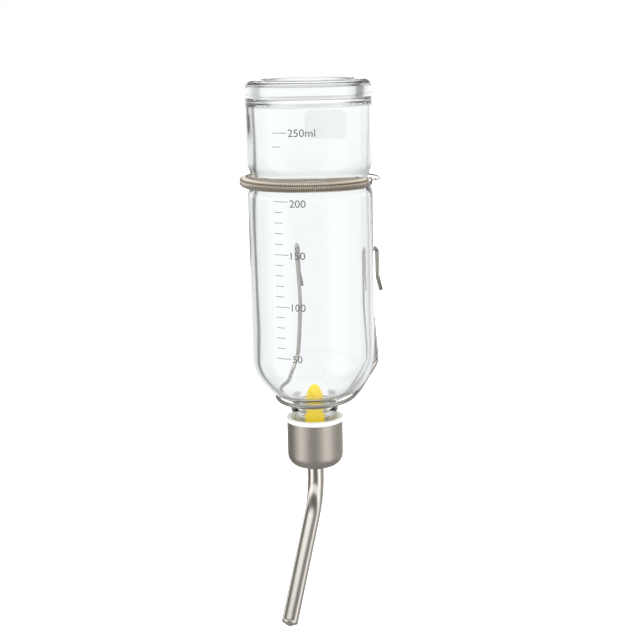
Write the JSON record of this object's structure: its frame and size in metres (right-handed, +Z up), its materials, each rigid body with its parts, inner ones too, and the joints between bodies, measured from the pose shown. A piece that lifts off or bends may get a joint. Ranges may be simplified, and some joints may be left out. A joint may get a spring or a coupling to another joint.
{
  "type": "rabbit water bottle",
  "caption": "Glass drinking bottle hung upside down on a cage by a bent wire holder and a spring strap, with a steel screw cap, a bent drinking tube with ball valve and a float.",
  "frame": {"origin": "centre of the horizontal cage wire inside the hooks, midway between the two hooks", "axes": "+Z up along the bottle as hung, +Y out of the back of the cage, X along the cage wire; the bottle stands 30 mm in front (-Y) of the wire"},
  "size_m": [0.0622, 0.0749, 0.2441],
  "materials": {
    "holder_steel": "drawn wire, bright",
    "bottle_glass": "clear, polished",
    "spring_steel": "close-wound coil, warm grey",
    "hook_steel": "drawn wire",
    "float_plastic": "gloss",
    "gasket_rubber": "matt silicone",
    "liner_plastic": "semi-gloss",
    "cap_steel": "brushed round the axis",
    "grommet_rubber": "matt",
    "tube_steel": "polished, drawn lengthwise",
    "ball_steel": "polished"
  },
  "bodies": {
    "holder": {"wire_holder": "holder_steel"},
    "bottle": {"glass_bottle": "bottle_glass", "strap_spring": "spring_steel", "strap_eye": "hook_steel"},
    "strap_end": {"strap_hook": "hook_steel"},
    "float_body": {"float": "float_plastic"},
    "gasket": {"neck_gasket": "gasket_rubber"},
    "cap": {"cap_liner": "liner_plastic", "cap_shell": "cap_steel", "tube_grommet": "grommet_rubber"},
    "tube": {"drinking_tube": "tube_steel"},
    "tip_ball_body": {"tip_ball": "ball_steel"},
    "upper_ball_body": {"upper_ball": "ball_steel"}
  },
  "joints": [
    {"name": "bottle_lift", "type": "slide", "parent": "holder", "child": "bottle", "axis": [0, 0, 1], "range_m": [0, 0.05]},
    {"name": "strap_unhook", "type": "slide", "parent": "bottle", "child": "strap_end", "axis": [0, -1, 0], "range_m": [0, 0.002], "stiffness_N_per_m": 283, "springref_m": -0.005, "deforming": ["strap_spring"]},
    {"name": "float_rise", "type": "slide", "parent": "bottle", "child": "float_body", "axis": [0, 0, 1], "range_m": [0, 0.12]},
    {"name": "cap_turn", "type": "hinge", "parent": "gasket", "child": "cap", "pos_m": [0, -0.03, -0.0739], "axis": [0, 0, -1], "range_deg": [0, 720.01]},
    {"name": "cap_travel", "type": "slide", "parent": "bottle", "child": "gasket", "axis": [0, 0, -1], "range_m": [0, 0.006]},
    {"name": "tube_swivel", "type": "hinge", "parent": "cap", "child": "tube", "pos_m": [0, -0.03, -0.0895], "axis": [0, 0, 1], "continuous": true},
    {"name": "tip_ball_push", "type": "slide", "parent": "tube", "child": "tip_ball_body", "axis": [0, 0.5736, 0.8192], "range_m": [0, 0.0015]},
    {"name": "upper_ball_lift", "type": "slide", "parent": "tube", "child": "upper_ball_body", "axis": [0, 0.5736, 0.8192], "range_m": [0, 0.0015]}
  ],
  "couplings": [
    {"joint": "cap_turn", "follows": "cap_travel", "rad_per_m": 2094.4},
    {"joint": "upper_ball_lift", "follows": "tip_ball_push", "ratio": 1}
  ]
}
